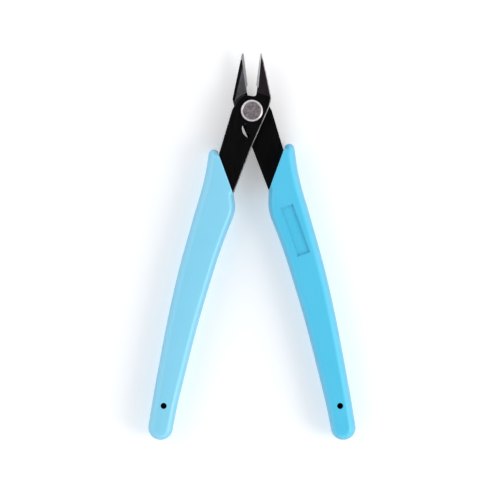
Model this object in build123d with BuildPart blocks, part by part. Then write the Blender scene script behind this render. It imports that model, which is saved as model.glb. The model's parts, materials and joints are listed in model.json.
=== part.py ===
from build123d import *
import os
from math import cos, radians, sin, tan

# Shear-type flush cutter: two flat steel halves lapped on one rivet, a wire spring between
# them and a moulded grip on each handle. Millimetres and degrees, +Y towards the jaws and
# +Z up off the bench. The tool lies on its back, jaws open, and the origin is on the bench
# below the middle of the tool.
#
# Both halves come from one drawing. It shows a half as it lies with the jaws shut, with the
# pivot at (0, 0), the handle on the left and the jaw on the right, and the lap face at
# height 0. The front half is that drawing turned open about the pivot, and the rear half is
# the same drawing turned over.

# Steel halves
plate_thickness = 2.8
lap_gap = 0.04            # between the two lap faces
half_opening = 9.2        # each half's swing from shut to open
edge_break = 0.26         # chamfer round the outer face

# Jaws
jaw_reach = 19.2          # pivot to tip
throat_reach = 8.8        # pivot to the start of the cutting edge
throat_floor = 4.8        # pivot to the bottom of the throat
throat_half_width = 0.55
throat_ear = 0.9
tip_overlap = 0.34        # by which each tip passes the centre line when shut
tip_width = 0.55
tip_thickness = 1.3
shoulder_x = 5.65
shoulder_y = 5.0
corner_radius = 0.8
taper_start = 6.3         # where the outer face starts to thin towards the tip
taper_skew = 8.5          # slant of the line where it starts
bevel_width = 0.95
edge_land = 0.15          # height of the square land left under the bevel
strip_width = 0.78        # of the lap face that still meets the other jaw behind the edge
relief_depth = 0.06       # of the rest of the jaw's lap face
relief_gap = 0.4          # between the relief and the boss

# Plate below the jaws
boss_radius = 5.85
boss_end = 166.0          # where the boss runs into the flank
waist_x = 5.4
waist_y = 2.1
flank_x = -6.48
flank_y = -0.8
inner_knee_x = 1.72
inner_knee_y = -12.08
outer_knee_x = -8.32
outer_knee_y = -15.0

# Rivet, and the burr under its peened end
shank_radius = 2.25
running_clearance = 0.03
head_radius = 3.6
head_height = 1.1
head_rim = 0.5            # width of the head's turned rim
head_rim_drop = 0.3
head_seat = 0.02          # under the head and under the burr
burr_radius = 3.2
burr_thickness = 0.8
peen_radius = 2.6
peen_height = 0.55

# Return spring, a wire hairpin round the rivet, and the pocket for it in both lap faces
wire_radius = 0.42
coil_radius = 3.55
wire_clearance = 0.1
leg_slant = 20.0          # of each leg from straight down
leg_length = 3.25
hook_height = 1.7
wire_bend = 0.5           # inside the wire's own middle line, where each leg turns into its hook
window_clearance = 0.23   # round the hook that stands in the window
window_radius = 2.85      # of the crescent's middle line
window_from = 150.0
window_sweep = 88.0
hook_hole_clearance = 0.15

# Grips
grip_thickness = 10.0
handle_reach = 111.45     # pivot to the end of the grip
grip_wall = 2.6           # beside the tang
grip_round = 1.5
tail_radius = 3.95
tail_x = -13.05
tail_flat = 0.1           # left between the tail's two rounded corners
nub_radius = 1.6
nub_x = -10.3
nub_y = -15.8
end_slant = 29.3          # of the grip's upper end from the tool's long axis
end_y = -28.4             # lower corner of that end
right_end_rise = 1.9      # by which the right grip's upper end was moulded further up its half
belly_x = -0.05
belly_y = -33.0
belly_round = 1.6
inner_stations = [(0.18, -3.0), (0.51, -6.4), (0.9, -8.85)]
outer_stations = [(0.87, -17.0), (0.55, -16.5), (0.3, -15.45), (0.04, -13.15)]
neck_x = -11.6
neck_y = -24.0
hole_radius = 1.0
hole_rise = 7.5           # above the tail's centre
label_length = 17.0
label_width = 4.6
label_depth = 0.7
label_draft = 30.0
label_x = -7.7
label_y = -40.9
label_slant = 10.5
bend_share = 0.45         # of the shorter run beside it that a bend in the grip's edge takes up

os.makedirs("parts", exist_ok=True)

lap = lap_gap / 2
outer_face = lap + plate_thickness
tail_y = tail_radius - handle_reach
spring_depth = wire_radius + wire_clearance - lap
land_radius = coil_radius - wire_radius - wire_clearance
pocket_radius = coil_radius + wire_radius + wire_clearance
leg_reach = (coil_radius**2 + leg_length**2) ** 0.5 + wire_radius + wire_clearance


def swung(x, y):
    """A point of the drawing after the front half has turned open, seen from the pivot."""
    turn = radians(half_opening)
    return (x * cos(turn) + y * sin(turn), y * cos(turn) - x * sin(turn))


jaw_end = swung(-tip_overlap, jaw_reach)[1]
tail_end = swung(tail_x, tail_y)[1] - tail_radius
pivot = (0, -(jaw_end + tail_end) / 2, grip_thickness / 2)

front_resting = Plane(origin=pivot)
rear_resting = Plane(origin=pivot, x_dir=(-1, 0, 0), z_dir=(0, 0, -1))


def station(share, x):
    """A point down the grip, by its share of the way from the belly to the tail's centre."""
    return (x, belly_y + share * (tail_y - belly_y))


def off_the_jaw(shut, edge):
    """True for an edge of the flat outer face that the jaw's own grinding leaves alone."""
    middle = shut.to_local_coords(edge.center())
    return middle.Y < throat_floor - corner_radius or middle.X > shoulder_x - corner_radius


def blade_blank(resting, bore_radius):
    """One stamped and ground half in its open place, bored for the rivet's shank."""
    shut = resting.moved(Location((0, 0, 0), (0, 0, -half_opening)))
    tang_inner = [station(share, x - grip_wall) for share, x in inner_stations]
    tang_outer = [station(share, x + grip_wall) for share, x in outer_stations]
    boss_top = -((boss_radius**2 - throat_floor**2) ** 0.5)
    with BuildPart() as blank:
        with BuildSketch(shut.offset(lap)):
            with BuildLine():
                jaw = Polyline(
                    (boss_top, throat_floor),
                    (throat_half_width, throat_floor),
                    (throat_half_width, throat_reach - throat_ear),
                    (0, throat_reach),
                    (-tip_overlap, jaw_reach),
                    (tip_width - tip_overlap, jaw_reach),
                    (shoulder_x, shoulder_y),
                    (waist_x, waist_y),
                    (inner_knee_x, inner_knee_y),
                    (belly_x - grip_wall, belly_y),
                    *tang_inner,
                    (tail_x + tail_radius - grip_wall, tail_y),
                )
                tail = RadiusArc(
                    jaw @ 1,
                    (tail_x - tail_radius + grip_wall, tail_y),
                    tail_radius - grip_wall,
                )
                handle = Polyline(
                    tail @ 1,
                    *tang_outer,
                    (outer_knee_x, outer_knee_y),
                    (flank_x, flank_y),
                    (boss_radius * cos(radians(boss_end)), boss_radius * sin(radians(boss_end))),
                )
                RadiusArc(handle @ 1, jaw @ 0, boss_radius)
            make_face()
        extrude(amount=plate_thickness)

        corners = [(throat_half_width, throat_floor), (shoulder_x, shoulder_y)]
        upright = blank.edges().filter_by(Axis.Z)
        fillet(
            [upright.sort_by_distance(shut.from_local_coords((x, y, outer_face)))[0] for x, y in corners],
            radius=corner_radius,
        )

        # The outer face thins towards the tip from a slanted line across the jaw's root.
        skew = radians(taper_skew)
        taper_run = jaw_reach - taper_start
        root = Plane(
            origin=shut.from_local_coords((0, taper_start, outer_face)),
            x_dir=shut.x_dir * sin(skew) + shut.y_dir * cos(skew),
            z_dir=shut.x_dir * cos(skew) - shut.y_dir * sin(skew),
        )
        with BuildSketch(root):
            with BuildLine():
                Polyline(
                    (0, 0),
                    (2 * taper_run, 0),
                    (2 * taper_run, -2 * (plate_thickness - tip_thickness)),
                    close=True,
                )
            make_face()
        extrude(amount=2 * shoulder_x, both=True, mode=Mode.SUBTRACT)

        flat = blank.faces().filter_by(lambda face: face.normal_at().dot(shut.z_dir) > 0.9)
        outline = ShapeList(flat.sort_by(SortBy.AREA)[-1].edges())
        chamfer(outline.filter_by(lambda edge: off_the_jaw(shut, edge)), length=edge_break)

        # The same break runs on up the jaw's outer edge, which sinks with the thinned face.
        side_lean = (shoulder_x - tip_width + tip_overlap) / (jaw_reach - shoulder_y)
        side_y = (taper_start - shoulder_x * tan(skew) - shoulder_y * side_lean * tan(skew)) / (
            1 - side_lean * tan(skew)
        )
        side_x = shoulder_x - side_lean * (side_y - shoulder_y)
        side_start = shut.from_local_coords((side_x, side_y, outer_face))
        side_end = shut.from_local_coords((tip_width - tip_overlap, jaw_reach, lap + tip_thickness))
        side = Plane(
            origin=side_start,
            x_dir=shut.x_dir + shut.y_dir * side_lean,
            z_dir=side_end - side_start,
        )
        with BuildSketch(side):
            with BuildLine():
                Polyline(
                    (-2 * edge_break, -edge_break),
                    (edge_break, 2 * edge_break),
                    (edge_break, -edge_break),
                    close=True,
                )
            make_face()
        extrude(amount=jaw_reach, mode=Mode.SUBTRACT)

        # The bevel behind the cutting edge is ground down the jaw's inner side.
        lean = tip_overlap / (jaw_reach - throat_reach)
        heel_y = throat_reach - throat_ear
        grinding = Plane(
            origin=shut.from_local_coords((lean * throat_ear, heel_y, lap)),
            x_dir=shut.z_dir,
            z_dir=shut.y_dir - shut.x_dir * lean,
        )
        with BuildSketch(grinding):
            with BuildLine():
                Polyline(
                    (edge_land, -bevel_width),
                    (edge_land, 0),
                    (plate_thickness, bevel_width),
                    (2 * plate_thickness, bevel_width),
                    (2 * plate_thickness, -bevel_width),
                    close=True,
                )
            make_face()
        extrude(amount=jaw_reach, mode=Mode.SUBTRACT)

        # Away from the cutting edge and the boss, the jaw's lap face is relieved.
        far_y = jaw_reach + strip_width
        far_x = strip_width - lean * (far_y - throat_reach)
        with BuildSketch(shut.offset(lap)):
            with BuildLine():
                Polyline(
                    (strip_width, 0),
                    (strip_width, throat_reach),
                    (far_x, far_y),
                    (2 * shoulder_x, far_y),
                    (2 * shoulder_x, 0),
                    close=True,
                )
            make_face()
            Circle(boss_radius + relief_gap, mode=Mode.SUBTRACT)
        extrude(amount=relief_depth, mode=Mode.SUBTRACT)

        # The spring's pocket is sunk in the lap face round a land that the shank runs in.
        slant = radians(leg_slant)
        side_run = (leg_reach**2 - pocket_radius**2) ** 0.5
        side_top = (-pocket_radius * cos(slant), -pocket_radius * sin(slant))
        side_foot = (side_top[0] + side_run * sin(slant), side_top[1] - side_run * cos(slant))
        with BuildSketch(resting.offset(lap)):
            with BuildLine():
                left_side = Line(side_top, side_foot)
                RadiusArc(left_side @ 1, (-side_foot[0], side_foot[1]), -leg_reach)
                Polyline((-side_foot[0], side_foot[1]), (-side_top[0], side_top[1]), side_top)
            make_face()
            Circle(pocket_radius)
            Circle(land_radius, mode=Mode.SUBTRACT)
        extrude(amount=spring_depth, mode=Mode.SUBTRACT)

        with BuildSketch(resting):
            Circle(bore_radius)
        extrude(amount=outer_face, mode=Mode.SUBTRACT)
    return blank.part


def bend_radii(corners, set_radii):
    """Radii that round a closed run of straight lines as gently as each corner has room for."""
    radii = []
    for index, corner in enumerate(corners):
        arriving = Vector(corner) - Vector(corners[index - 1])
        leaving = Vector(corners[(index + 1) % len(corners)]) - Vector(corner)
        half_turn = radians(arriving.get_angle(leaving) / 2)
        gentle = bend_share * min(arriving.length, leaving.length) / tan(half_turn)
        radii.append(set_radii.get(corner, gentle))
    return radii


def grip_moulding(resting, blade, end_rise):
    """One grip moulded round its half's tang, with the blank label panel sunk in its lap side."""
    shut = resting.moved(Location((0, 0, 0), (0, 0, -half_opening)))
    nub_side = nub_x - nub_radius
    nub_apex = (nub_side, nub_y + end_rise + nub_radius * tan(radians(90 - end_slant / 2)))
    end_foot = (nub_side + (nub_apex[1] - end_y - end_rise) * tan(radians(end_slant)), end_y + end_rise)
    tail_inner = (tail_x + tail_radius, tail_y - tail_radius)
    tail_outer = (tail_x - tail_radius, tail_y - tail_radius)
    corners = [
        nub_apex,
        end_foot,
        (belly_x, belly_y),
        *[station(share, x) for share, x in inner_stations],
        tail_inner,
        tail_outer,
        *[station(share, x) for share, x in outer_stations],
        (neck_x, neck_y),
    ]
    tail_round = tail_radius - tail_flat / 2
    set_radii = {nub_apex: nub_radius, end_foot: belly_round, tail_inner: tail_round, tail_outer: tail_round}
    with BuildPart() as moulding:
        with BuildSketch(shut.offset(-grip_thickness / 2)):
            with BuildLine():
                FilletPolyline(*corners, radius=bend_radii(corners, set_radii), close=True)
            make_face()
        extrude(amount=grip_thickness)
        fillet(moulding.edges().filter_by(Axis.Z, reverse=True), radius=grip_round)

        # The mould's locating pins leave a hole down to the tang from each face.
        with BuildSketch(shut.shift_origin(shut.from_local_coords((tail_x, tail_y + hole_rise)))):
            Circle(hole_radius)
        extrude(amount=grip_thickness, both=True, mode=Mode.SUBTRACT)

        label = shut.offset(-grip_thickness / 2).shift_origin(
            shut.from_local_coords((label_x, label_y, -grip_thickness / 2))
        )
        with BuildSketch(label.moved(Location((0, 0, 0), (0, 0, -label_slant)))):
            Rectangle(label_width, label_length)
        extrude(amount=label_depth, taper=label_draft, mode=Mode.SUBTRACT)
        add(blade, mode=Mode.SUBTRACT)
    return moulding.part


root_x = coil_radius * cos(radians(leg_slant))
root_y = -coil_radius * sin(radians(leg_slant))
hook_x = root_x - leg_length * sin(radians(leg_slant))
hook_y = root_y - leg_length * cos(radians(leg_slant))

front_blank = blade_blank(front_resting, shank_radius)
rear_blank = blade_blank(rear_resting, shank_radius + running_clearance)
left_moulding = grip_moulding(front_resting, front_blank, 0)
right_moulding = grip_moulding(rear_resting, rear_blank, right_end_rise)

# The crescent window starts round the left hook and bows out towards the handle.
window_centre = (
    -hook_x - window_radius * cos(radians(window_from)),
    hook_y - window_radius * sin(radians(window_from)),
)
window_middle = CenterArc(window_centre, window_radius, window_from, window_sweep)

# Front half: handle on the left, jaw on the right, with the crescent window for one hook.
with BuildPart() as front_blade_half:
    add(front_blank)
    with BuildSketch(front_resting):
        SlotArc(window_middle, 2 * (wire_radius + window_clearance))
    extrude(amount=outer_face, mode=Mode.SUBTRACT)

front_blade_half.part.label = "front_blade_half"
export_step(front_blade_half.part, "parts/front_blade_half.step")

# Rear half: the same stamping turned over, with a round hole for the other hook.
with BuildPart() as rear_blade_half:
    add(rear_blank)
    with BuildSketch(rear_resting.shift_origin(rear_resting.from_local_coords((-hook_x, hook_y)))):
        Circle(wire_radius + hook_hole_clearance)
    extrude(amount=outer_face, mode=Mode.SUBTRACT)

rear_blade_half.part.label = "rear_blade_half"
export_step(rear_blade_half.part, "parts/rear_blade_half.step")

# Rivet: a low turned head on the front half and a peened tail over the burr behind.
head_underside = outer_face + head_seat
burr_back = -head_underside - burr_thickness
with BuildPart() as pivot_rivet:
    with BuildSketch(Plane(origin=pivot, x_dir=(1, 0, 0), z_dir=(0, -1, 0))):
        with BuildLine():
            turned = Polyline(
                (0, burr_back - peen_height),
                (0, head_underside + head_height),
                (head_radius - head_rim, head_underside + head_height),
                (head_radius, head_underside + head_height - head_rim_drop),
                (head_radius, head_underside),
                (shank_radius, head_underside),
                (shank_radius, burr_back),
                (peen_radius, burr_back),
            )
            RadiusArc(turned @ 1, turned @ 0, (peen_radius**2 + peen_height**2) / (2 * peen_height))
        make_face()
    revolve(axis=Axis(pivot, (0, 0, 1)))

pivot_rivet.part.label = "pivot_rivet"
export_step(pivot_rivet.part, "parts/pivot_rivet.step")

# Burr: the washer that the tail is peened over.
with BuildPart() as rivet_burr:
    with BuildSketch(Plane(origin=pivot).offset(-head_underside)):
        Circle(burr_radius)
        Circle(shank_radius, mode=Mode.SUBTRACT)
    extrude(amount=-burr_thickness)

rivet_burr.part.label = "rivet_burr"
export_step(rivet_burr.part, "parts/rivet_burr.step")

# Return spring: a wire hairpin round the rivet, one hook up in the window and one down in
# the hole behind.
with BuildPart() as return_spring:
    with BuildLine(front_resting) as wire:
        CenterArc((0, 0), coil_radius, -leg_slant, 180 + 2 * leg_slant)
        FilletPolyline(
            (-root_x, root_y, 0), (-hook_x, hook_y, 0), (-hook_x, hook_y, hook_height), radius=wire_bend
        )
        FilletPolyline(
            (root_x, root_y, 0), (hook_x, hook_y, 0), (hook_x, hook_y, -hook_height), radius=wire_bend
        )
    with BuildSketch(Plane(origin=wire.line @ 0, z_dir=wire.line % 0)):
        Circle(wire_radius)
    sweep(path=wire.line)

return_spring.part.label = "return_spring"
export_step(return_spring.part, "parts/return_spring.step")

# Grips: one moulding on each handle, the same but for being turned over.
with BuildPart() as left_grip:
    add(left_moulding)

left_grip.part.label = "left_grip"
export_step(left_grip.part, "parts/left_grip.step")

with BuildPart() as right_grip:
    add(right_moulding)

right_grip.part.label = "right_grip"
export_step(right_grip.part, "parts/right_grip.step")
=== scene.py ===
import json
import math

import bmesh
import bpy
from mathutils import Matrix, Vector


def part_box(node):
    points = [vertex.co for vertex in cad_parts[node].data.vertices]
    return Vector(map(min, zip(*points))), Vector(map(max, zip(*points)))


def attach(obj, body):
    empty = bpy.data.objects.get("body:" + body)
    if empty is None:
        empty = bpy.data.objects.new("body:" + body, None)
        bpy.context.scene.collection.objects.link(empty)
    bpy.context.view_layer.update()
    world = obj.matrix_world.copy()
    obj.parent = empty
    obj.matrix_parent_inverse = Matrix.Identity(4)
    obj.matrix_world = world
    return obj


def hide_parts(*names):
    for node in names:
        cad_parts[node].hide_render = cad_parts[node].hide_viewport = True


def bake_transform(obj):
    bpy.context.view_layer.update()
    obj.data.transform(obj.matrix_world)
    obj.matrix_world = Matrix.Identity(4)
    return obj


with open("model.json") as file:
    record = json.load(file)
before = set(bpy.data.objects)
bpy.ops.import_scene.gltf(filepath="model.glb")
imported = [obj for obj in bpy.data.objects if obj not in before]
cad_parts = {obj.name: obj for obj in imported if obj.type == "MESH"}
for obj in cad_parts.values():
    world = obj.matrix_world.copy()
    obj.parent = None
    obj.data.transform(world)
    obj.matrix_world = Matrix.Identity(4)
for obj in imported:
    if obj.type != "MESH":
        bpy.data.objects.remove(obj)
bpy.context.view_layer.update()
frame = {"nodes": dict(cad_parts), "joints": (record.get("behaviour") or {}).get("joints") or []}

# Bench, camera and lights. The tool lies on its back on a sheet of white acrylic that is
# faintly lit from below, and is seen from straight above. A broad soft light stands low on
# the right, so each handle throws a pale shadow to its left, and the flat black faces look
# up at a dim ceiling.


def linear(code):
    """An sRGB hex colour as linear light."""
    shares = [int(code[at : at + 2], 16) / 255 for at in (1, 3, 5)]
    return (*[c / 12.92 if c <= 0.04045 else ((c + 0.055) / 1.055) ** 2.4 for c in shares], 1)


def put(tree, kind, feeds=(), **settings):
    """Adds a node with its settings, and feeds each input a value or another node's output."""
    node = tree.nodes.new(kind)
    for name, value in settings.items():
        setattr(node, name, value)
    for socket, value in dict(feeds).items():
        if isinstance(value, bpy.types.NodeSocket):
            tree.links.new(value, node.inputs[socket])
        else:
            node.inputs[socket].default_value = value
    return node


def new_finish(name):
    """An empty material and its node tree."""
    finish = bpy.data.materials.new(name)
    finish.use_nodes = True
    finish.node_tree.nodes.clear()
    return finish, finish.node_tree


# Opal acrylic: cast white sheet with a matt face, faintly cloudy and evenly lit from behind.
opal_acrylic, tree = new_finish("cast_opal_acrylic")
place = put(tree, "ShaderNodeTexCoord").outputs["Object"]
cloud = put(tree, "ShaderNodeTexNoise", {"Vector": place, "Scale": 1 / 0.06, "Detail": 3})
white = put(
    tree,
    "ShaderNodeMix",
    {0: cloud.outputs["Fac"], 6: linear("#FBFBFC"), 7: linear("#F6F7F9")},
    data_type="RGBA",
)
surface = put(
    tree,
    "ShaderNodeBsdfPrincipled",
    {
        "Base Color": white.outputs[2],
        "Roughness": 0.75,
        "Emission Color": linear("#FFFBF6"),
        "Emission Strength": 0.26,
    },
)
put(tree, "ShaderNodeOutputMaterial", {"Surface": surface.outputs[0]})

sheet = bpy.data.meshes.new("bench_sheet")
bench_top = -0.00002         # a hair below the grips' flat backs
bench_reach = 3.0            # from the middle to each side
bench_quarters = ((-1, -1), (1, -1), (1, 1), (-1, 1))
sheet_corners = [(x * bench_reach, y * bench_reach, bench_top) for x, y in bench_quarters]
sheet.from_pydata(sheet_corners, [], [(0, 1, 2, 3)])
sheet.materials.append(opal_acrylic)
bench = bpy.data.objects.new("bench_sheet", sheet)
bpy.context.scene.collection.objects.link(bench)

scene = bpy.context.scene
scene.view_settings.view_transform = "Standard"
scene.view_settings.look = "None"

camera_data = bpy.data.cameras.new("overhead_camera")
camera_data.sensor_width = 36
camera_data.lens = 196
camera_data.clip_start, camera_data.clip_end = 0.05, 10
camera = bpy.data.objects.new("overhead_camera", camera_data)
camera.location = (-0.00062, -0.00114, 0.9)
scene.collection.objects.link(camera)
scene.camera = camera

lamps = [
    # name, where it stands, width, height, watts, colour
    ("soft_key_right", (0.66, -0.22, 0.42), 0.40, 0.50, 2.3, "#FFFDF8"),
    ("soft_fill_left", (-0.60, 0.30, 0.60), 0.60, 0.60, 0.7, "#FBFDFF"),
]
for name, stand, width, height, watts, tint in lamps:
    lamp = bpy.data.lights.new(name, "AREA")
    lamp.shape, lamp.size, lamp.size_y = "RECTANGLE", width, height
    lamp.energy, lamp.color = watts, linear(tint)[:3]
    light = bpy.data.objects.new(name, lamp)
    light.location = stand
    light.rotation_mode = "QUATERNION"
    light.rotation_quaternion = (-Vector(stand)).to_track_quat("-Z", "Y")
    light.visible_camera = False
    scene.collection.objects.link(light)

# The room: pale walls all round, and a dim ceiling right over the bench.
room = bpy.data.worlds.new("studio_room")
room.use_nodes = True
tree = room.node_tree
tree.nodes.clear()
looked_at = put(tree, "ShaderNodeSeparateXYZ", {0: put(tree, "ShaderNodeTexCoord").outputs["Generated"]})
height_share = put(tree, "ShaderNodeMapRange", {0: looked_at.outputs["Z"], 1: 0.6, 2: 0.95, 3: 0.0, 4: 1.0})
shade = put(
    tree,
    "ShaderNodeMix",
    {0: height_share.outputs[0], 6: linear("#F0F2F6"), 7: linear("#1C1D1F")},
    data_type="RGBA",
)
glow = put(tree, "ShaderNodeBackground", {"Color": shade.outputs[2], "Strength": 1.28})
put(tree, "ShaderNodeOutputWorld", {"Surface": glow.outputs[0]})
scene.world = room


# Steel halves. Each is stamped from 2.8 mm spring steel, blacked all over in a hot oxide
# bath and ground afterwards along its jaw, which leaves bright steel behind the cutting edge
# and a grey, coarser grind on the relieved lap face. The chamfers along each jaw's outer edge
# and each handle's inner edge, which face the key light on the front half, carry bare worn
# steel: partly wear, partly a painted highlight along those edges.
pivot = Vector(frame["joints"][0]["pos_m"])
half_open = math.radians(frame["joints"][0]["range_deg"][1]) / 2
mm = 0.001
bright_root = 6.3 * mm       # where the bright strip leaves the boss
bevel_heel = 7.8 * mm        # where the bevel behind the cutting edge starts
bevel_reach = 1.9 * mm       # of the bevel from the middle line
lap_depth = 0.05 * mm        # the lap face is nearer to the lap plane than this
relief_floor = 0.2 * mm      # and the relieved face is nearer than this
black_rim = 0.85 * mm        # of the relieved face, left unground along the jaw's outer edge
bright_tip = 17.3 * mm       # past here the lap face is bright from rim to rim
jaw_shoulder, jaw_tip = Vector((5.65, 5.0)) * mm, Vector((0.21, 19.2)) * mm
edge_softness = 0.05 * mm    # left on every corner by tumbling
# Chamfers on the outer side to the right of this line take the worn bright steel; on the front half they
# face the key light, so this is partly wear, partly a painted highlight.
lit_rubbed_side = 0.4 * mm       # chamfers left of here, on the outer side, keep their black
lit_rubbed_lean = 0.13           # of that line, which follows the handle

# Black oxide on ground spring steel: a thin magnetite skin, near black, satin, with the
# draw marks of the first grinding just showing through it. Each jaw's thinned outer face
# was ground again before the bath, so the skin is thinner there and shows a brown cast.
oxides = []
for name, deep, pale in (
    ("black_oxide_spring_steel", "#040304", "#0B0809"),
    ("thin_oxide_spring_steel", "#16111A", "#2E2529"),
):
    oxide, tree = new_finish(name)
    place = put(tree, "ShaderNodeTexCoord").outputs["Object"]
    drawn_out = put(tree, "ShaderNodeMapping", {"Vector": place, "Scale": (1, 0.08, 1)})
    draw_marks = put(
        tree,
        "ShaderNodeTexNoise",
        {"Vector": drawn_out.outputs[0], "Scale": 1 / 0.0005, "Detail": 4},
    )
    blotch = put(
        tree,
        "ShaderNodeTexNoise",
        {"Vector": place, "Scale": 1 / 0.003, "Detail": 5, "Roughness": 0.6},
    )
    skin = put(
        tree,
        "ShaderNodeMix",
        {0: blotch.outputs["Fac"], 6: linear(deep), 7: linear(pale)},
        data_type="RGBA",
    )
    skin_gloss = put(
        tree,
        "ShaderNodeMapRange",
        {0: draw_marks.outputs["Fac"], 1: 0.3, 2: 0.7, 3: 0.30, 4: 0.42},
    )
    marks = put(
        tree,
        "ShaderNodeBump",
        {"Height": draw_marks.outputs["Fac"], "Strength": 0.25, "Distance": 0.00002},
    )
    surface = put(
        tree,
        "ShaderNodeBsdfPrincipled",
        {
            "Base Color": skin.outputs[2],
            "Roughness": skin_gloss.outputs[0],
            "Specular IOR Level": 0.22,
            "Normal": marks.outputs[0],
        },
    )
    put(tree, "ShaderNodeOutputMaterial", {"Surface": surface.outputs[0]})
    oxides.append(oxide)

# The same steel where the black has rubbed thin on the chamfers: bright in streaks and
# spots, with dark oxide left between them. It goes only on the chamfers facing the key
# light, so it is partly wear and partly a painted highlight.
worn_lit_edge_oxide, tree = new_finish("worn_and_lit_edge_spring_steel")
place = put(tree, "ShaderNodeTexCoord").outputs["Object"]
rubs = put(
    tree,
    "ShaderNodeTexNoise",
    {"Vector": place, "Scale": 1 / 0.0012, "Detail": 6, "Roughness": 0.65},
)
bare = put(tree, "ShaderNodeMapRange", {0: rubs.outputs["Fac"], 1: 0.34, 2: 0.56, 3: 0.25, 4: 1.0})
rubbed_and_lit_colour = put(
    tree,
    "ShaderNodeMix",
    {0: bare.outputs[0], 6: linear("#2A2826"), 7: linear("#8E8B89")},
    data_type="RGBA",
)
rubbed_gloss = put(tree, "ShaderNodeMapRange", {0: rubs.outputs["Fac"], 1: 0.3, 2: 0.7, 3: 0.42, 4: 0.28})
surface = put(
    tree,
    "ShaderNodeBsdfPrincipled",
    {"Base Color": rubbed_and_lit_colour.outputs[2], "Metallic": 1.0, "Roughness": rubbed_gloss.outputs[0]},
)
put(tree, "ShaderNodeOutputMaterial", {"Surface": surface.outputs[0]})

# Bright ground steel: the last pass of a fine wheel, straight across the edge, so its
# scratches are short and close together. They are drawn 0.15 mm apart, coarser than real.
bright_ground, tree = new_finish("bright_ground_spring_steel")
place = put(tree, "ShaderNodeTexCoord").outputs["Object"]
across = put(tree, "ShaderNodeMapping", {"Vector": place, "Scale": (0.15, 1, 1)})
scratches = put(
    tree,
    "ShaderNodeTexNoise",
    {"Vector": across.outputs[0], "Scale": 1 / 0.00015, "Detail": 3},
)
ground = put(
    tree,
    "ShaderNodeMix",
    {0: scratches.outputs["Fac"], 6: linear("#A2A0A2"), 7: linear("#D6D5D7")},
    data_type="RGBA",
)
scratch_bump = put(
    tree,
    "ShaderNodeBump",
    {"Height": scratches.outputs["Fac"], "Strength": 0.35, "Distance": 0.00001},
)
surface = put(
    tree,
    "ShaderNodeBsdfPrincipled",
    {
        "Base Color": ground.outputs[2],
        "Metallic": 0.6,
        "Roughness": 0.5,
        "Normal": scratch_bump.outputs[0],
    },
)
put(tree, "ShaderNodeOutputMaterial", {"Surface": surface.outputs[0]})

# Relieved lap face: a coarser grind, oiled and half stained, so it reads as dark grey steel.
grey_ground, tree = new_finish("stained_ground_spring_steel")
place = put(tree, "ShaderNodeTexCoord").outputs["Object"]
across = put(tree, "ShaderNodeMapping", {"Vector": place, "Scale": (0.2, 1, 1)})
scratches = put(tree, "ShaderNodeTexNoise", {"Vector": across.outputs[0], "Scale": 1 / 0.0003, "Detail": 4})
stain = put(tree, "ShaderNodeTexNoise", {"Vector": place, "Scale": 1 / 0.002, "Detail": 4})
stained = put(
    tree,
    "ShaderNodeMix",
    {0: stain.outputs["Fac"], 6: linear("#48474C"), 7: linear("#7C7B82")},
    data_type="RGBA",
)
scratch_bump = put(
    tree,
    "ShaderNodeBump",
    {"Height": scratches.outputs["Fac"], "Strength": 0.4, "Distance": 0.00002},
)
surface = put(
    tree,
    "ShaderNodeBsdfPrincipled",
    {
        "Base Color": stained.outputs[2],
        "Metallic": 0.7,
        "Roughness": 0.5,
        "Normal": scratch_bump.outputs[0],
    },
)
put(tree, "ShaderNodeOutputMaterial", {"Surface": surface.outputs[0]})


def merged_copy(node_name, piece_name):
    """A copy of a CAD node with its loose triangles joined up into whole flat faces."""
    shape = bmesh.new()
    shape.from_mesh(frame["nodes"][node_name].data)
    bmesh.ops.remove_doubles(shape, verts=shape.verts, dist=1e-7)
    bmesh.ops.dissolve_limit(shape, angle_limit=math.radians(0.5), verts=shape.verts, edges=shape.edges)
    mesh = bpy.data.meshes.new(piece_name)
    shape.to_mesh(mesh)
    shape.free()
    piece = bpy.data.objects.new(piece_name, mesh)
    scene.collection.objects.link(piece)
    return piece


def drawn_at(point, side):
    """Where a point lies on its half's drawing: jaws shut, seen from the half's outer side."""
    x, y = side * (point.x - pivot.x), point.y - pivot.y
    turn_cos, turn_sin = math.cos(half_open), math.sin(half_open)
    return x * turn_cos - y * turn_sin, x * turn_sin + y * turn_cos


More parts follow.
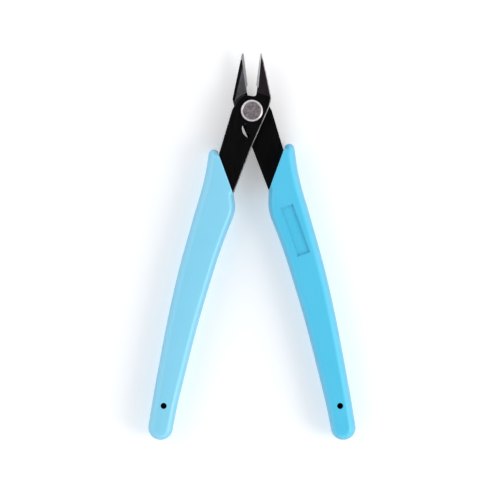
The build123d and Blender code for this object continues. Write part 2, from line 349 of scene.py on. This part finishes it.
for node_name, body, side in (
    ("front_blade_half", "front_lever", 1),
    ("rear_blade_half", "rear_lever", -1),
):
    half = merged_copy(node_name, node_name + "_ground")
    for finish in (oxides[0], worn_lit_edge_oxide, bright_ground, grey_ground, oxides[1]):
        half.data.materials.append(finish)

    # The bright strip is marked off from the boss where the grinding starts, and the black
    # rim from the ground face along the jaw's outer edge.
    shape = bmesh.new()
    shape.from_mesh(half.data)
    jaw_way = Vector((side * math.sin(half_open), math.cos(half_open), 0))
    jaw_side = Vector((side * math.cos(half_open), -math.sin(half_open), 0))
    edge_way = (jaw_tip - jaw_shoulder - Vector((black_rim * 0.5, 0))).normalized()
    inward = Vector((-edge_way.y, edge_way.x))
    rim_start = jaw_shoulder + inward * black_rim
    rim_at = pivot + jaw_side * rim_start.x + jaw_way * rim_start.y
    rim_facing = jaw_side * inward.x + jaw_way * inward.y
    for cut_at, cut_facing in (
        (pivot + jaw_way * bright_root, jaw_way),
        (pivot + jaw_way * bright_tip, jaw_way),
        (rim_at, rim_facing),
    ):
        bmesh.ops.bisect_plane(
            shape,
            geom=[*shape.verts, *shape.edges, *shape.faces],
            dist=1e-8,
            plane_co=cut_at,
            plane_no=cut_facing,
        )
    shape.normal_update()
    for face in shape.faces:
        outward = face.normal.z * side
        middle = face.calc_center_median()
        x, y = drawn_at(middle, side)
        depth = side * (middle.z - pivot.z)
        if outward < -0.99 and y > bright_root and (depth < lap_depth or y > bright_tip):
            face.material_index = 2
        elif outward < -0.99 and y > 0 and lap_depth < depth < relief_floor:
            off_the_rim = (middle - rim_at).dot(rim_facing) > 0
            face.material_index = 3 if off_the_rim else 0
        elif y > bevel_heel and x < bevel_reach and -0.5 < outward < 0.9:
            face.material_index = 2
        elif 0.98 < outward < 0.998 and y > 0:
            face.material_index = 4
        # Worn bright steel on the chamfers facing the key light: partly wear, partly a painted highlight.
        elif 0.2 < outward < 0.95 and x > lit_rubbed_side + lit_rubbed_lean * y:
            face.material_index = 1
        face.smooth = True
    shape.to_mesh(half.data)
    shape.free()
    half.data.set_sharp_from_angle(angle=math.radians(25))
    soft_edges = half.modifiers.new("tumbled_edges", "BEVEL")
    soft_edges.width = edge_softness
    soft_edges.segments = 2
    soft_edges.limit_method = "ANGLE"
    soft_edges.angle_limit = math.radians(25)
    soft_edges.harden_normals = True
    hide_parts(node_name)
    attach(half, body)


# Rivet and burr. The rivet is turned from mild steel: a low head with a rolled rim round a
# sandblasted face, and a tail peened over the burr behind. The head and burr ride with the
# front half, where the shank is a press fit.
turned_steel, tree = new_finish("turned_mild_steel")
# Bright turned steel, tumbled afterwards: rings too fine to see one by one soften the shine.
place = put(tree, "ShaderNodeTexCoord").outputs["Object"]
tumble = put(tree, "ShaderNodeTexNoise", {"Vector": place, "Scale": 1 / 0.0004, "Detail": 4})
steel = put(
    tree,
    "ShaderNodeMix",
    {0: tumble.outputs["Fac"], 6: linear("#D2CCCD"), 7: linear("#F2EEEE")},
    data_type="RGBA",
)
steel_gloss = put(tree, "ShaderNodeMapRange", {0: tumble.outputs["Fac"], 1: 0.3, 2: 0.7, 3: 0.3, 4: 0.42})
surface = put(
    tree,
    "ShaderNodeBsdfPrincipled",
    {"Base Color": steel.outputs[2], "Metallic": 0.85, "Roughness": steel_gloss.outputs[0]},
)
put(tree, "ShaderNodeOutputMaterial", {"Surface": surface.outputs[0]})

blasted_steel, tree = new_finish("sandblasted_mild_steel")
# Blasted steel: pitted and matt, with a warm pinkish grey cast and small dark pits.
place = put(tree, "ShaderNodeTexCoord").outputs["Object"]
mottle = put(
    tree,
    "ShaderNodeTexNoise",
    {"Vector": place, "Scale": 1 / 0.0011, "Detail": 6, "Roughness": 0.7},
)
pits = put(tree, "ShaderNodeTexNoise", {"Vector": place, "Scale": 1 / 0.00035, "Detail": 2})
mottled = put(tree, "ShaderNodeMapRange", {0: mottle.outputs["Fac"], 1: 0.35, 2: 0.65, 3: 0.0, 4: 1.0})
blasted = put(
    tree,
    "ShaderNodeMix",
    {0: mottled.outputs[0], 6: linear("#5F575A"), 7: linear("#A89EA1")},
    data_type="RGBA",
)
pit_bump = put(
    tree,
    "ShaderNodeBump",
    {"Height": pits.outputs["Fac"], "Strength": 0.5, "Distance": 0.00004},
)
surface = put(
    tree,
    "ShaderNodeBsdfPrincipled",
    {
        "Base Color": blasted.outputs[2],
        "Metallic": 0.55,
        "Roughness": 0.58,
        "Normal": pit_bump.outputs[0],
    },
)
put(tree, "ShaderNodeOutputMaterial", {"Surface": surface.outputs[0]})


def turned_piece(name, profile, finishes, body, closed=False):
    """A lathe-turned piece about the pivot, from a profile that runs from the back up the outside.

    Each of its points is a radius and a height above the lap plane, in millimetres, and the
    finish from there on.
    """
    facets = 96
    shape = bmesh.new()
    rings = []
    for radius, height, _ in profile:
        if radius == 0:
            rings.append([shape.verts.new(pivot + Vector((0, 0, height * mm)))])
            continue
        angles = [math.tau * k / facets for k in range(facets)]
        rings.append(
            [
                shape.verts.new(pivot + Vector((radius * math.cos(a), radius * math.sin(a), height)) * mm)
                for a in angles
            ]
        )
    following = rings[1:] + rings[:1] if closed else rings[1:]
    for lower, upper, (_, _, finish) in zip(rings, following, profile):
        for k in range(facets):
            after = (k + 1) % facets
            if len(lower) == 1:
                corners = [lower[0], upper[after], upper[k]]
            elif len(upper) == 1:
                corners = [lower[k], lower[after], upper[0]]
            else:
                corners = [lower[k], lower[after], upper[after], upper[k]]
            face = shape.faces.new(corners)
            face.material_index = finish
            face.smooth = True
    bmesh.ops.recalc_face_normals(shape, faces=shape.faces)
    mesh = bpy.data.meshes.new(name)
    shape.to_mesh(mesh)
    shape.free()
    mesh.set_sharp_from_angle(angle=math.radians(50))
    piece = bpy.data.objects.new(name, mesh)
    for finish in finishes:
        mesh.materials.append(finish)
    scene.collection.objects.link(piece)
    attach(piece, body)
    return piece


shank_radius, peen_radius, corner_break = 2.25, 2.6, 0.08
head_radius, head_height = 3.6, 1.1
head_top = (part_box("pivot_rivet")[1].z - pivot.z) / mm
head_base = head_top - head_height
burr_back = (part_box("rivet_burr")[0].z - pivot.z) / mm
peen_end = (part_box("pivot_rivet")[0].z - pivot.z) / mm
bright, blasted_face = 0, 1
profile = [(0, peen_end, blasted_face)]
peen_steps = 12
for step in range(1, peen_steps + 1):
    share = step / peen_steps
    profile.append((peen_radius * share, peen_end + (burr_back - peen_end) * share**2.2, blasted_face))
profile += [
    (shank_radius, burr_back, bright),
    (shank_radius, head_base, bright),
    (head_radius - corner_break, head_base, bright),
    (head_radius, head_base + corner_break, bright),
]

# The rim is rolled over: it leans in from the head's edge to a crest, then drops to the
# blasted face in one small step. The face is very slightly domed.
rim_foot, rim_crest, face_radius, face_drop = head_base + 0.6, 3.08, 2.93, 0.14
rim_steps = 7
for step in range(rim_steps + 1):
    share = step / rim_steps
    in_to = head_radius - (head_radius - rim_crest) * share**1.25
    up_to = rim_foot + (head_top - rim_foot) * math.sin(share * math.pi / 2)
    profile.append((in_to, up_to, bright))
profile += [
    (3.02, head_top - 0.01, bright),
    (face_radius, head_top - face_drop, blasted_face),
    (1.4, head_top - face_drop + 0.03, blasted_face),
    (0, head_top - face_drop + 0.05, blasted_face),
]
rivet = turned_piece("pivot_rivet_turned", profile, [turned_steel, blasted_steel], "front_lever")
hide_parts("pivot_rivet")

burr_top = (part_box("rivet_burr")[1].z - pivot.z) / mm
burr_radius = 3.2
burr_profile = [
    (shank_radius, burr_top, bright),
    (shank_radius, burr_back + corner_break, bright),
    (shank_radius + corner_break, burr_back, bright),
    (burr_radius - 0.25, burr_back, bright),
    (burr_radius - corner_break, burr_back + 0.07, bright),
    (burr_radius, burr_back + 0.25, bright),
    (burr_radius, burr_top - corner_break, bright),
    (burr_radius - corner_break, burr_top, bright),
]
burr = turned_piece("rivet_burr_turned", burr_profile, [turned_steel], "front_lever", closed=True)
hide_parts("rivet_burr")


# Return spring. A hairpin of 0.84 mm music wire lies in the pocket between the halves: one
# coil round the rivet, two legs, and a hook at each end, up into the front half's window
# and down into the rear half's hole. It is bent on a former and left bright.
music_wire, tree = new_finish("drawn_music_wire")
# Drawn wire: bright and smooth along its length, with a faint straw tint from stress relief.
place = put(tree, "ShaderNodeTexCoord").outputs["Object"]
streak = put(tree, "ShaderNodeTexNoise", {"Vector": place, "Scale": 1 / 0.0008, "Detail": 3})
wire_colour = put(
    tree,
    "ShaderNodeMix",
    {0: streak.outputs["Fac"], 6: linear("#8F8C8A"), 7: linear("#B7B2AC")},
    data_type="RGBA",
)
surface = put(
    tree,
    "ShaderNodeBsdfPrincipled",
    {"Base Color": wire_colour.outputs[2], "Metallic": 1.0, "Roughness": 0.32},
)
put(tree, "ShaderNodeOutputMaterial", {"Surface": surface.outputs[0]})

wire_radius, coil_radius, leg_slant, leg_length = 0.42, 3.55, math.radians(20), 3.25
hook_height, hook_bend = 1.7, 0.5
root_x, root_y = coil_radius * math.cos(leg_slant), -coil_radius * math.sin(leg_slant)
hook_x, hook_y = root_x - leg_length * math.sin(leg_slant), root_y - leg_length * math.cos(leg_slant)
wire_way = [(-hook_x, hook_y, hook_height), (-hook_x, hook_y, 0)]
coil_steps = 44
for step in range(coil_steps + 1):
    angle = math.pi + leg_slant - (math.pi + 2 * leg_slant) * step / coil_steps
    wire_way.append((coil_radius * math.cos(angle), coil_radius * math.sin(angle), 0))
wire_way += [(hook_x, hook_y, 0), (hook_x, hook_y, -hook_height)]

wire_line = bpy.data.curves.new("return_spring_way", "CURVE")
wire_line.dimensions = "3D"
spline = wire_line.splines.new("POLY")
spline.points.add(len(wire_way) - 1)
for point, at in zip(spline.points, wire_way):
    point.co = (*(pivot + Vector(at) * mm), 1)
wire_former = bpy.data.objects.new("return_spring_way", wire_line)
scene.collection.objects.link(wire_former)

wire_tree = bpy.data.node_groups.new("wire_bent_on_a_former", "GeometryNodeTree")
wire_tree.interface.new_socket("Way", in_out="INPUT", socket_type="NodeSocketGeometry")
bend_in = wire_tree.interface.new_socket("Bend Radius", in_out="INPUT", socket_type="NodeSocketFloat")
gauge_in = wire_tree.interface.new_socket("Wire Radius", in_out="INPUT", socket_type="NodeSocketFloat")
metal_in = wire_tree.interface.new_socket("Metal", in_out="INPUT", socket_type="NodeSocketMaterial")
wire_tree.interface.new_socket("Wire", in_out="OUTPUT", socket_type="NodeSocketGeometry")
given = put(wire_tree, "NodeGroupInput").outputs
bent = put(
    wire_tree,
    "GeometryNodeFilletCurve",
    {"Curve": given["Way"], "Radius": given["Bend Radius"], "Count": 8, "Limit Radius": True},
    mode="POLY",
)
gauge = put(
    wire_tree,
    "GeometryNodeCurvePrimitiveCircle",
    {"Resolution": 20, "Radius": given["Wire Radius"]},
)
drawn = put(
    wire_tree,
    "GeometryNodeCurveToMesh",
    {"Curve": bent.outputs["Curve"], "Profile Curve": gauge.outputs["Curve"], "Fill Caps": True},
)
real = put(wire_tree, "GeometryNodeRealizeInstances", {"Geometry": drawn.outputs["Mesh"]})
coated = put(
    wire_tree,
    "GeometryNodeSetMaterial",
    {"Geometry": real.outputs["Geometry"], "Material": given["Metal"]},
)
put(wire_tree, "NodeGroupOutput", {"Wire": coated.outputs["Geometry"]})

bending = wire_former.modifiers.new("bending", "NODES")
bending.node_group = wire_tree
bending[bend_in.identifier] = hook_bend * mm
bending[gauge_in.identifier] = wire_radius * mm
bending[metal_in.identifier] = music_wire
bpy.context.view_layer.update()
ready = wire_former.evaluated_get(bpy.context.evaluated_depsgraph_get())
wire_mesh = bpy.data.meshes.new_from_object(ready)
wire_former.modifiers.remove(bending)
bpy.data.objects.remove(wire_former)
spring = bpy.data.objects.new("return_spring_wire", wire_mesh)
scene.collection.objects.link(spring)
wire_mesh.set_sharp_from_angle(angle=math.radians(50))
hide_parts("return_spring")
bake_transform(spring)


# Grips. Each is injection moulded round its tang in soft vinyl: well rounded sides, a
# crisp slanted end where the mould shuts on the steel, a thin parting line round the edge,
# a sunk blank label panel, and a hole down to the tang where a locating pin held it.
vinyls = {}
for node_name, deep, pale, steep_shade_blue in (
    # The left grip's blues are paler than the right's: a painted highlight standing in for the broad sheen
    # on that grip.
    ("left_grip", "#8ADFFC", "#98E3FE", "#74B8D2"),
    ("right_grip", "#53D0F5", "#60D4F8", "#5CABC8"),
):
    # Soft vinyl: light blue right through, matt from the spark-eroded mould, with a fine
    # orange peel. Its colour drifts slightly where it flowed, and handling dulls it unevenly.
    # The steep sides and the label panel's walls are mixed towards a darker blue, a painted
    # shade. The left grip's paler blue is a painted highlight, for the sheen that washes over it.
    vinyl, tree = new_finish("moulded_soft_vinyl_" + node_name)
    place = put(tree, "ShaderNodeTexCoord").outputs["Object"]
    flow = put(tree, "ShaderNodeTexNoise", {"Vector": place, "Scale": 1 / 0.022, "Detail": 3})
    peel = put(tree, "ShaderNodeTexNoise", {"Vector": place, "Scale": 1 / 0.0004, "Detail": 3})
    dulling = put(tree, "ShaderNodeTexNoise", {"Vector": place, "Scale": 1 / 0.006, "Detail": 4})
    blue = put(
        tree,
        "ShaderNodeMix",
        {0: flow.outputs["Fac"], 6: linear(deep), 7: linear(pale)},
        data_type="RGBA",
    )
    surface_way = put(tree, "ShaderNodeNewGeometry").outputs["Normal"]
    upright = put(tree, "ShaderNodeSeparateXYZ", {0: surface_way}).outputs["Z"]
    flatness = put(tree, "ShaderNodeMath", {0: upright}, operation="ABSOLUTE")
    # Painted shade: the steeper a face, the more its blue is mixed towards the darker blue.
    steep_face_shade = put(tree, "ShaderNodeMapRange", {0: flatness.outputs[0], 1: 0.35, 2: 0.8, 3: 0.8, 4: 0.0})
    blue_with_steep_shade = put(
        tree,
        "ShaderNodeMix",
        {0: steep_face_shade.outputs[0], 6: blue.outputs[2], 7: linear(steep_shade_blue)},
        data_type="RGBA",
    )
    vinyl_gloss = put(
        tree,
        "ShaderNodeMapRange",
        {0: dulling.outputs["Fac"], 1: 0.3, 2: 0.7, 3: 0.3, 4: 0.42},
    )
    peel_bump = put(
        tree,
        "ShaderNodeBump",
        {"Height": peel.outputs["Fac"], "Strength": 0.2, "Distance": 0.00003},
    )
    surface = put(
        tree,
        "ShaderNodeBsdfPrincipled",
        {
            "Base Color": blue_with_steep_shade.outputs[2],
            "Roughness": vinyl_gloss.outputs[0],
            "IOR": 1.53,
            "Normal": peel_bump.outputs[0],
        },
    )
    put(tree, "ShaderNodeOutputMaterial", {"Surface": surface.outputs[0]})
    vinyls[node_name] = vinyl

# The mould: from a flat blank that knows its rim, its slanted end and which side is which,
# it raises both faces by how far each point lies in from the rim.
mould_tree = bpy.data.node_groups.new("two_part_grip_mould", "GeometryNodeTree")
mould_tree.interface.new_socket("Blank", in_out="INPUT", socket_type="NodeSocketGeometry")
mould_sizes = {}
for label, kind in (
    ("Half Thickness", "NodeSocketFloat"),
    ("Outer Rounding", "NodeSocketFloat"),
    ("Inner Rounding", "NodeSocketFloat"),
    ("Squareness", "NodeSocketFloat"),
    ("Plain Crown", "NodeSocketFloat"),
    ("Label Crown", "NodeSocketFloat"),
    ("Crown Reach", "NodeSocketFloat"),
    ("End Rounding", "NodeSocketFloat"),
    ("Parting Line", "NodeSocketFloat"),
    ("Core Pins", "NodeSocketObject"),
    ("Vinyl", "NodeSocketMaterial"),
):
    mould_sizes[label] = mould_tree.interface.new_socket(label, in_out="INPUT", socket_type=kind)
mould_tree.interface.new_socket("Grip", in_out="OUTPUT", socket_type="NodeSocketGeometry")
given = put(mould_tree, "NodeGroupInput").outputs


def sum_of(kind, first, second=0.0, third=0.0, clamp=False):
    """The result of one step of the mould's arithmetic."""
    terms = {0: first, 1: second, 2: third}
    return put(mould_tree, "ShaderNodeMath", terms, operation=kind, use_clamp=clamp).outputs[0]


def carried(name, kind):
    """A value that the blank carries, by name."""
    node = put(mould_tree, "GeometryNodeInputNamedAttribute", {"Name": name}, data_type=kind)
    return next(out for out in node.outputs if out.enabled and out.name == "Attribute")


def way_in_from(edges):
    """How far each point lies from the named edges of the blank."""
    kept = put(
        mould_tree,
        "GeometryNodeSeparateGeometry",
        {"Geometry": given["Blank"], "Selection": carried(edges, "BOOLEAN")},
        domain="EDGE",
    )
    near = put(mould_tree, "GeometryNodeProximity", {0: kept.outputs["Selection"]}, target_element="EDGES")
    return near.outputs["Distance"]


way_in = way_in_from("rim")
outer_share = carried("outer_share", "FLOAT")
rounding = sum_of(
    "ADD",
    given["Inner Rounding"],
    sum_of("MULTIPLY", sum_of("SUBTRACT", given["Outer Rounding"], given["Inner Rounding"]), outer_share),
)
short_of_flat = sum_of("SUBTRACT", 1.0, sum_of("DIVIDE", way_in, rounding), clamp=True)
swell = sum_of(
    "POWER",
    sum_of("SUBTRACT", 1.0, sum_of("POWER", short_of_flat, given["Squareness"]), clamp=True),
    sum_of("DIVIDE", 1.0, given["Squareness"]),
)
label_side = carried("label_side", "FLOAT")
crown = sum_of(
    "ADD",
    given["Plain Crown"],
    sum_of("MULTIPLY", sum_of("SUBTRACT", given["Label Crown"], given["Plain Crown"]), label_side),
)
short_of_crown = sum_of("SUBTRACT", 1.0, sum_of("DIVIDE", way_in, given["Crown Reach"]), clamp=True)
sunk_by_crown = sum_of("MULTIPLY", crown, sum_of("MULTIPLY", short_of_crown, short_of_crown))
face_height = sum_of("MULTIPLY", swell, sum_of("SUBTRACT", given["Half Thickness"], sunk_by_crown))
end_share = sum_of("DIVIDE", way_in_from("slanted_end"), given["End Rounding"])
short_of_end = sum_of("SUBTRACT", 1.0, end_share, clamp=True)
short_squared = sum_of("MULTIPLY", short_of_end, short_of_end)
end_arc = sum_of("SQRT", sum_of("SUBTRACT", 1.0, short_squared, clamp=True))
sunk_by_end = sum_of("MULTIPLY", given["End Rounding"], sum_of("SUBTRACT", 1.0, end_arc))
final_height = sum_of("MAXIMUM", sum_of("SUBTRACT", face_height, sunk_by_end), 0.0)
raised = sum_of("MULTIPLY", carried("face", "FLOAT"), final_height)
lift = put(mould_tree, "ShaderNodeCombineXYZ", {"Z": raised})
body_shape = put(
    mould_tree,
    "GeometryNodeSetPosition",
    {"Geometry": given["Blank"], "Offset": lift.outputs[0]},
)
pins = put(mould_tree, "GeometryNodeObjectInfo", {"Object": given["Core Pins"]})
cored = put(
    mould_tree,
    "GeometryNodeMeshBoolean",
    {"Mesh 1": body_shape.outputs["Geometry"], "Mesh 2": pins.outputs["Geometry"]},
    operation="DIFFERENCE",
    solver="EXACT",
)
rim_only = put(
    mould_tree,
    "GeometryNodeSeparateGeometry",
    {"Geometry": given["Blank"], "Selection": carried("rim", "BOOLEAN")},
    domain="EDGE",
)
rim_line = put(mould_tree, "GeometryNodeMeshToCurve", {0: rim_only.outputs["Selection"]})
flash = put(
    mould_tree,
    "GeometryNodeCurvePrimitiveCircle",
    {"Resolution": 8, "Radius": given["Parting Line"]},
)
flash_line = put(
    mould_tree,
    "GeometryNodeCurveToMesh",
    {"Curve": rim_line.outputs["Curve"], "Profile Curve": flash.outputs["Curve"], "Fill Caps": True},
)
joined = put(mould_tree, "GeometryNodeJoinGeometry")
mould_tree.links.new(flash_line.outputs["Mesh"], joined.inputs[0])
mould_tree.links.new(cored.outputs["Mesh"], joined.inputs[0])
smooth = put(mould_tree, "GeometryNodeSetShadeSmooth", {"Geometry": joined.outputs[0]})
real = put(mould_tree, "GeometryNodeRealizeInstances", {"Geometry": smooth.outputs[0]})
filled = put(
    mould_tree,
    "GeometryNodeSetMaterial",
    {"Geometry": real.outputs["Geometry"], "Material": given["Vinyl"]},
)
put(mould_tree, "NodeGroupOutput", {"Grip": filled.outputs["Geometry"]})


def walked(line, steps):
    """Points at those shares of the way along a line of points."""
    run = [0.0]
    for before, after in zip(line, line[1:]):
        run.append(run[-1] + (after - before).length)
    found, at = [], 0
    for share in steps:
        goal = share * run[-1]
        while at < len(line) - 2 and run[at + 1] < goal:
            at += 1
        found.append(line[at].lerp(line[at + 1], (goal - run[at]) / max(run[at + 1] - run[at], 1e-12)))
    return found


half_thickness = (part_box("left_grip")[1].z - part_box("left_grip")[0].z) / 2
side_wall_top = half_thickness - 1.5 * mm     # above the lap plane, where the CAD side wall stops
level_fit = 0.02 * mm                         # to which a rim vertex lies on that level
end_slant = math.radians(29.3)                # of the slanted end from the half's drawing upright
slant_fit = 0.02                              # by which a run's direction may differ from the slant
end_floor = -0.032                            # the slanted end lies above here on the drawing
label_length, label_width, label_depth, label_draft = 17.0, 4.6, 0.7, math.radians(30)
label_at, label_turn = Vector((-7.7, -40.9)), math.radians(-10.5)
pin_at, pin_radius = Vector((-13.05, -100.0)), 1.0
pad_start = -0.3                              # above the grip's face, where the label's pad begins
even_rows, across_steps, pin_facets = 170, 44, 40

for node_name, body, side in (("left_grip", "front_lever", 1), ("right_grip", "rear_lever", -1)):
    turn_cos, turn_sin = math.cos(half_open), math.sin(half_open)

    def resting(x, y, height):
        """A point of the half's drawing, in millimetres, where it lies on the bench."""
        across_x = side * (x * turn_cos + y * turn_sin)
        return pivot + Vector((across_x, y * turn_cos - x * turn_sin, side * height)) * mm

    # The grip's rim is the loop of edges round the top of the CAD side wall.
    shape = bmesh.new()
    shape.from_mesh(frame["nodes"][node_name].data)
    bmesh.ops.remove_doubles(shape, verts=shape.verts, dist=1e-7)
    level = pivot.z + side_wall_top
    around = [v for v in shape.verts if abs(v.co.z - level) < level_fit]
    on_level = set(around)
    rim = {v: [e.other_vert(v) for e in v.link_edges if e.other_vert(v) in on_level] for v in around}
    tail = min(around, key=lambda v: drawn_at(v.co, side)[1])
    loop, came_from = [tail], None
    while True:
        onward = [v for v in rim[loop[-1]] if v is not came_from and v is not loop[-1]]
        came_from = loop[-1]
        if not onward or onward[0] is tail:
            break
        loop.append(onward[0])
    loop = [Vector((v.co.x, v.co.y, pivot.z)) for v in loop]
    shape.free()

    # The slanted end is its longest straight run at the end's slant.
    across = []
    for before, after in zip(loop, loop[1:]):
        start, stop = Vector(drawn_at(before, side)), Vector(drawn_at(after, side))
        way = (stop - start).normalized()
        off_slant = Vector((abs(way.x) - math.sin(end_slant), abs(way.y) - math.cos(end_slant)))
        slanted = max(abs(off_slant.x), abs(off_slant.y)) < slant_fit
        high_up = min(start.y, stop.y) > end_floor
        across.append((stop - start).length if slanted and high_up else 0.0)
    cut = across.index(max(across))
    first, second = loop[: cut + 1], loop[cut + 1 :] + [loop[0]]
    first.reverse()
    if drawn_at(first[0], side)[0] > drawn_at(second[0], side)[0]:
        inner_line, outer_line = first, second
    else:
        inner_line, outer_line = second, first

    # Sections run from the inner rim to the outer, first along the slanted end and then
    # turning square to the grip. They crowd at the end and at the rims.
    rows = [0.0, 0.0006, 0.0014, 0.0026, 0.0042]
    rows += [k / even_rows for k in range(1, even_rows)] + [0.9972, 0.9988, 0.9996]
    columns = [0.5 - 0.5 * math.cos(math.pi * k / across_steps) for k in range(across_steps + 1)]
    inner, outer = walked(inner_line, rows), walked(outer_line, rows)
    points, faces, facing, shares, top, back = [], [], [], [], [], []
    for inside, outside in zip(inner, outer):
        top.append([])
        back.append([])
        for column, share in enumerate(columns):
            at = inside.lerp(outside, share)
            at_rim = column in (0, len(columns) - 1)
            top[-1].append(len(points))
            points.append(at)
            facing.append(0.0 if at_rim else 1.0)
            shares.append(share)
            if at_rim:
                back[-1].append(top[-1][-1])
                continue
            back[-1].append(len(points))
            points.append(at)
            facing.append(-1.0)
            shares.append(share)
    pole = len(points)
    points.append(inner_line[-1])
    facing.append(0.0)
    shares.append(0.5)
    last = len(columns) - 1
    rim_edges, end_edges = set(), set()
    for sheet_rows, outward in ((top, side), (back, -side)):
        for near, far in zip(sheet_rows, sheet_rows[1:]):
            for column in range(last):
                faces.append((near[column], near[column + 1], far[column + 1], far[column])[::outward])
        for column in range(last):
            faces.append((sheet_rows[-1][column], sheet_rows[-1][column + 1], pole)[::outward])
            end_edges.add(frozenset(sheet_rows[0][column : column + 2]))
    for row in range(len(rows) - 1):
        rim_edges.add(frozenset((top[row][0], top[row + 1][0])))
        rim_edges.add(frozenset((top[row][last], top[row + 1][last])))
    rim_edges.add(frozenset((top[-1][0], pole)))
    rim_edges.add(frozenset((top[-1][last], pole)))
    for column in range(last):
        corners = (top[0][column], top[0][column + 1], back[0][column + 1], back[0][column])
        faces.append(tuple(dict.fromkeys(corners))[::-side])

    blank = bpy.data.meshes.new(node_name + "_blank")
    blank.from_pydata(points, [], faces)
    blank.attributes.new("face", "FLOAT", "POINT").data.foreach_set("value", facing)
    blank.attributes.new("outer_share", "FLOAT", "POINT").data.foreach_set("value", shares)
    labelled = [1.0 if facing_way * side < 0 else 0.0 for facing_way in facing]
    blank.attributes.new("label_side", "FLOAT", "POINT").data.foreach_set("value", labelled)
    for name, chosen in (("rim", rim_edges), ("slanted_end", end_edges)):
        marked = [frozenset(edge.vertices) in chosen for edge in blank.edges]
        blank.attributes.new(name, "BOOLEAN", "EDGE").data.foreach_set("value", marked)
    moulding = bpy.data.objects.new(node_name + "_blank", blank)
    scene.collection.objects.link(moulding)

    # The core: a pin right through the tail, and the raised pad that sinks the label panel.
    core = bmesh.new()
    ends = []
    for height in (-2 * half_thickness / mm, 2 * half_thickness / mm):
        angles = [math.tau * k / pin_facets for k in range(pin_facets)]
        spots = [(pin_at.x + pin_radius * math.cos(a), pin_at.y + pin_radius * math.sin(a)) for a in angles]
        ends.append([core.verts.new(resting(x, y, height)) for x, y in spots])
    pad_levels = []
    for sunk in (label_depth, pad_start):
        grow = -sunk * math.tan(label_draft)
        half_w, half_l = label_width / 2 + grow, label_length / 2 + grow
        corners = []
        for x, y in ((-half_w, -half_l), (half_w, -half_l), (half_w, half_l), (-half_w, half_l)):
            spot = label_at + Vector(
                (
                    x * math.cos(label_turn) - y * math.sin(label_turn),
                    x * math.sin(label_turn) + y * math.cos(label_turn),
                )
            )
            corners.append(core.verts.new(resting(spot.x, spot.y, -(half_thickness / mm - sunk))))
        pad_levels.append(corners)
    for low_ring, high_ring in (ends, pad_levels):
        count = len(low_ring)
        core.faces.new(low_ring)
        core.faces.new(high_ring)
        for k in range(count):
            after = (k + 1) % count
            core.faces.new((low_ring[k], low_ring[after], high_ring[after], high_ring[k]))
    bmesh.ops.recalc_face_normals(core, faces=core.faces)
    core_mesh = bpy.data.meshes.new("core_pins")
    core.to_mesh(core_mesh)
    core.free()
    core_pins = bpy.data.objects.new("core_pins", core_mesh)
    scene.collection.objects.link(core_pins)

    pressing = moulding.modifiers.new("moulding", "NODES")
    pressing.node_group = mould_tree
    for label, value in (
        ("Half Thickness", half_thickness),
        ("Outer Rounding", 2.9 * mm),
        ("Inner Rounding", 1.9 * mm),
        ("Squareness", 2.3),
        ("Plain Crown", 0.35 * mm),
        ("Label Crown", 0.1 * mm),
        ("Crown Reach", 5.5 * mm),
        ("End Rounding", 0.25 * mm),
        ("Parting Line", 0.07 * mm),
        ("Core Pins", core_pins),
        ("Vinyl", vinyls[node_name]),
    ):
        pressing[mould_sizes[label].identifier] = value
    bpy.context.view_layer.update()
    ready = moulding.evaluated_get(bpy.context.evaluated_depsgraph_get())
    grip_mesh = bpy.data.meshes.new_from_object(ready)
    moulding.modifiers.remove(pressing)
    bpy.data.objects.remove(moulding)
    bpy.data.objects.remove(core_pins)
    grip_mesh.set_sharp_from_angle(angle=math.radians(35))
    grip = bpy.data.objects.new(node_name + "_moulded", grip_mesh)
    scene.collection.objects.link(grip)
    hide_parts(node_name)
    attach(grip, body)
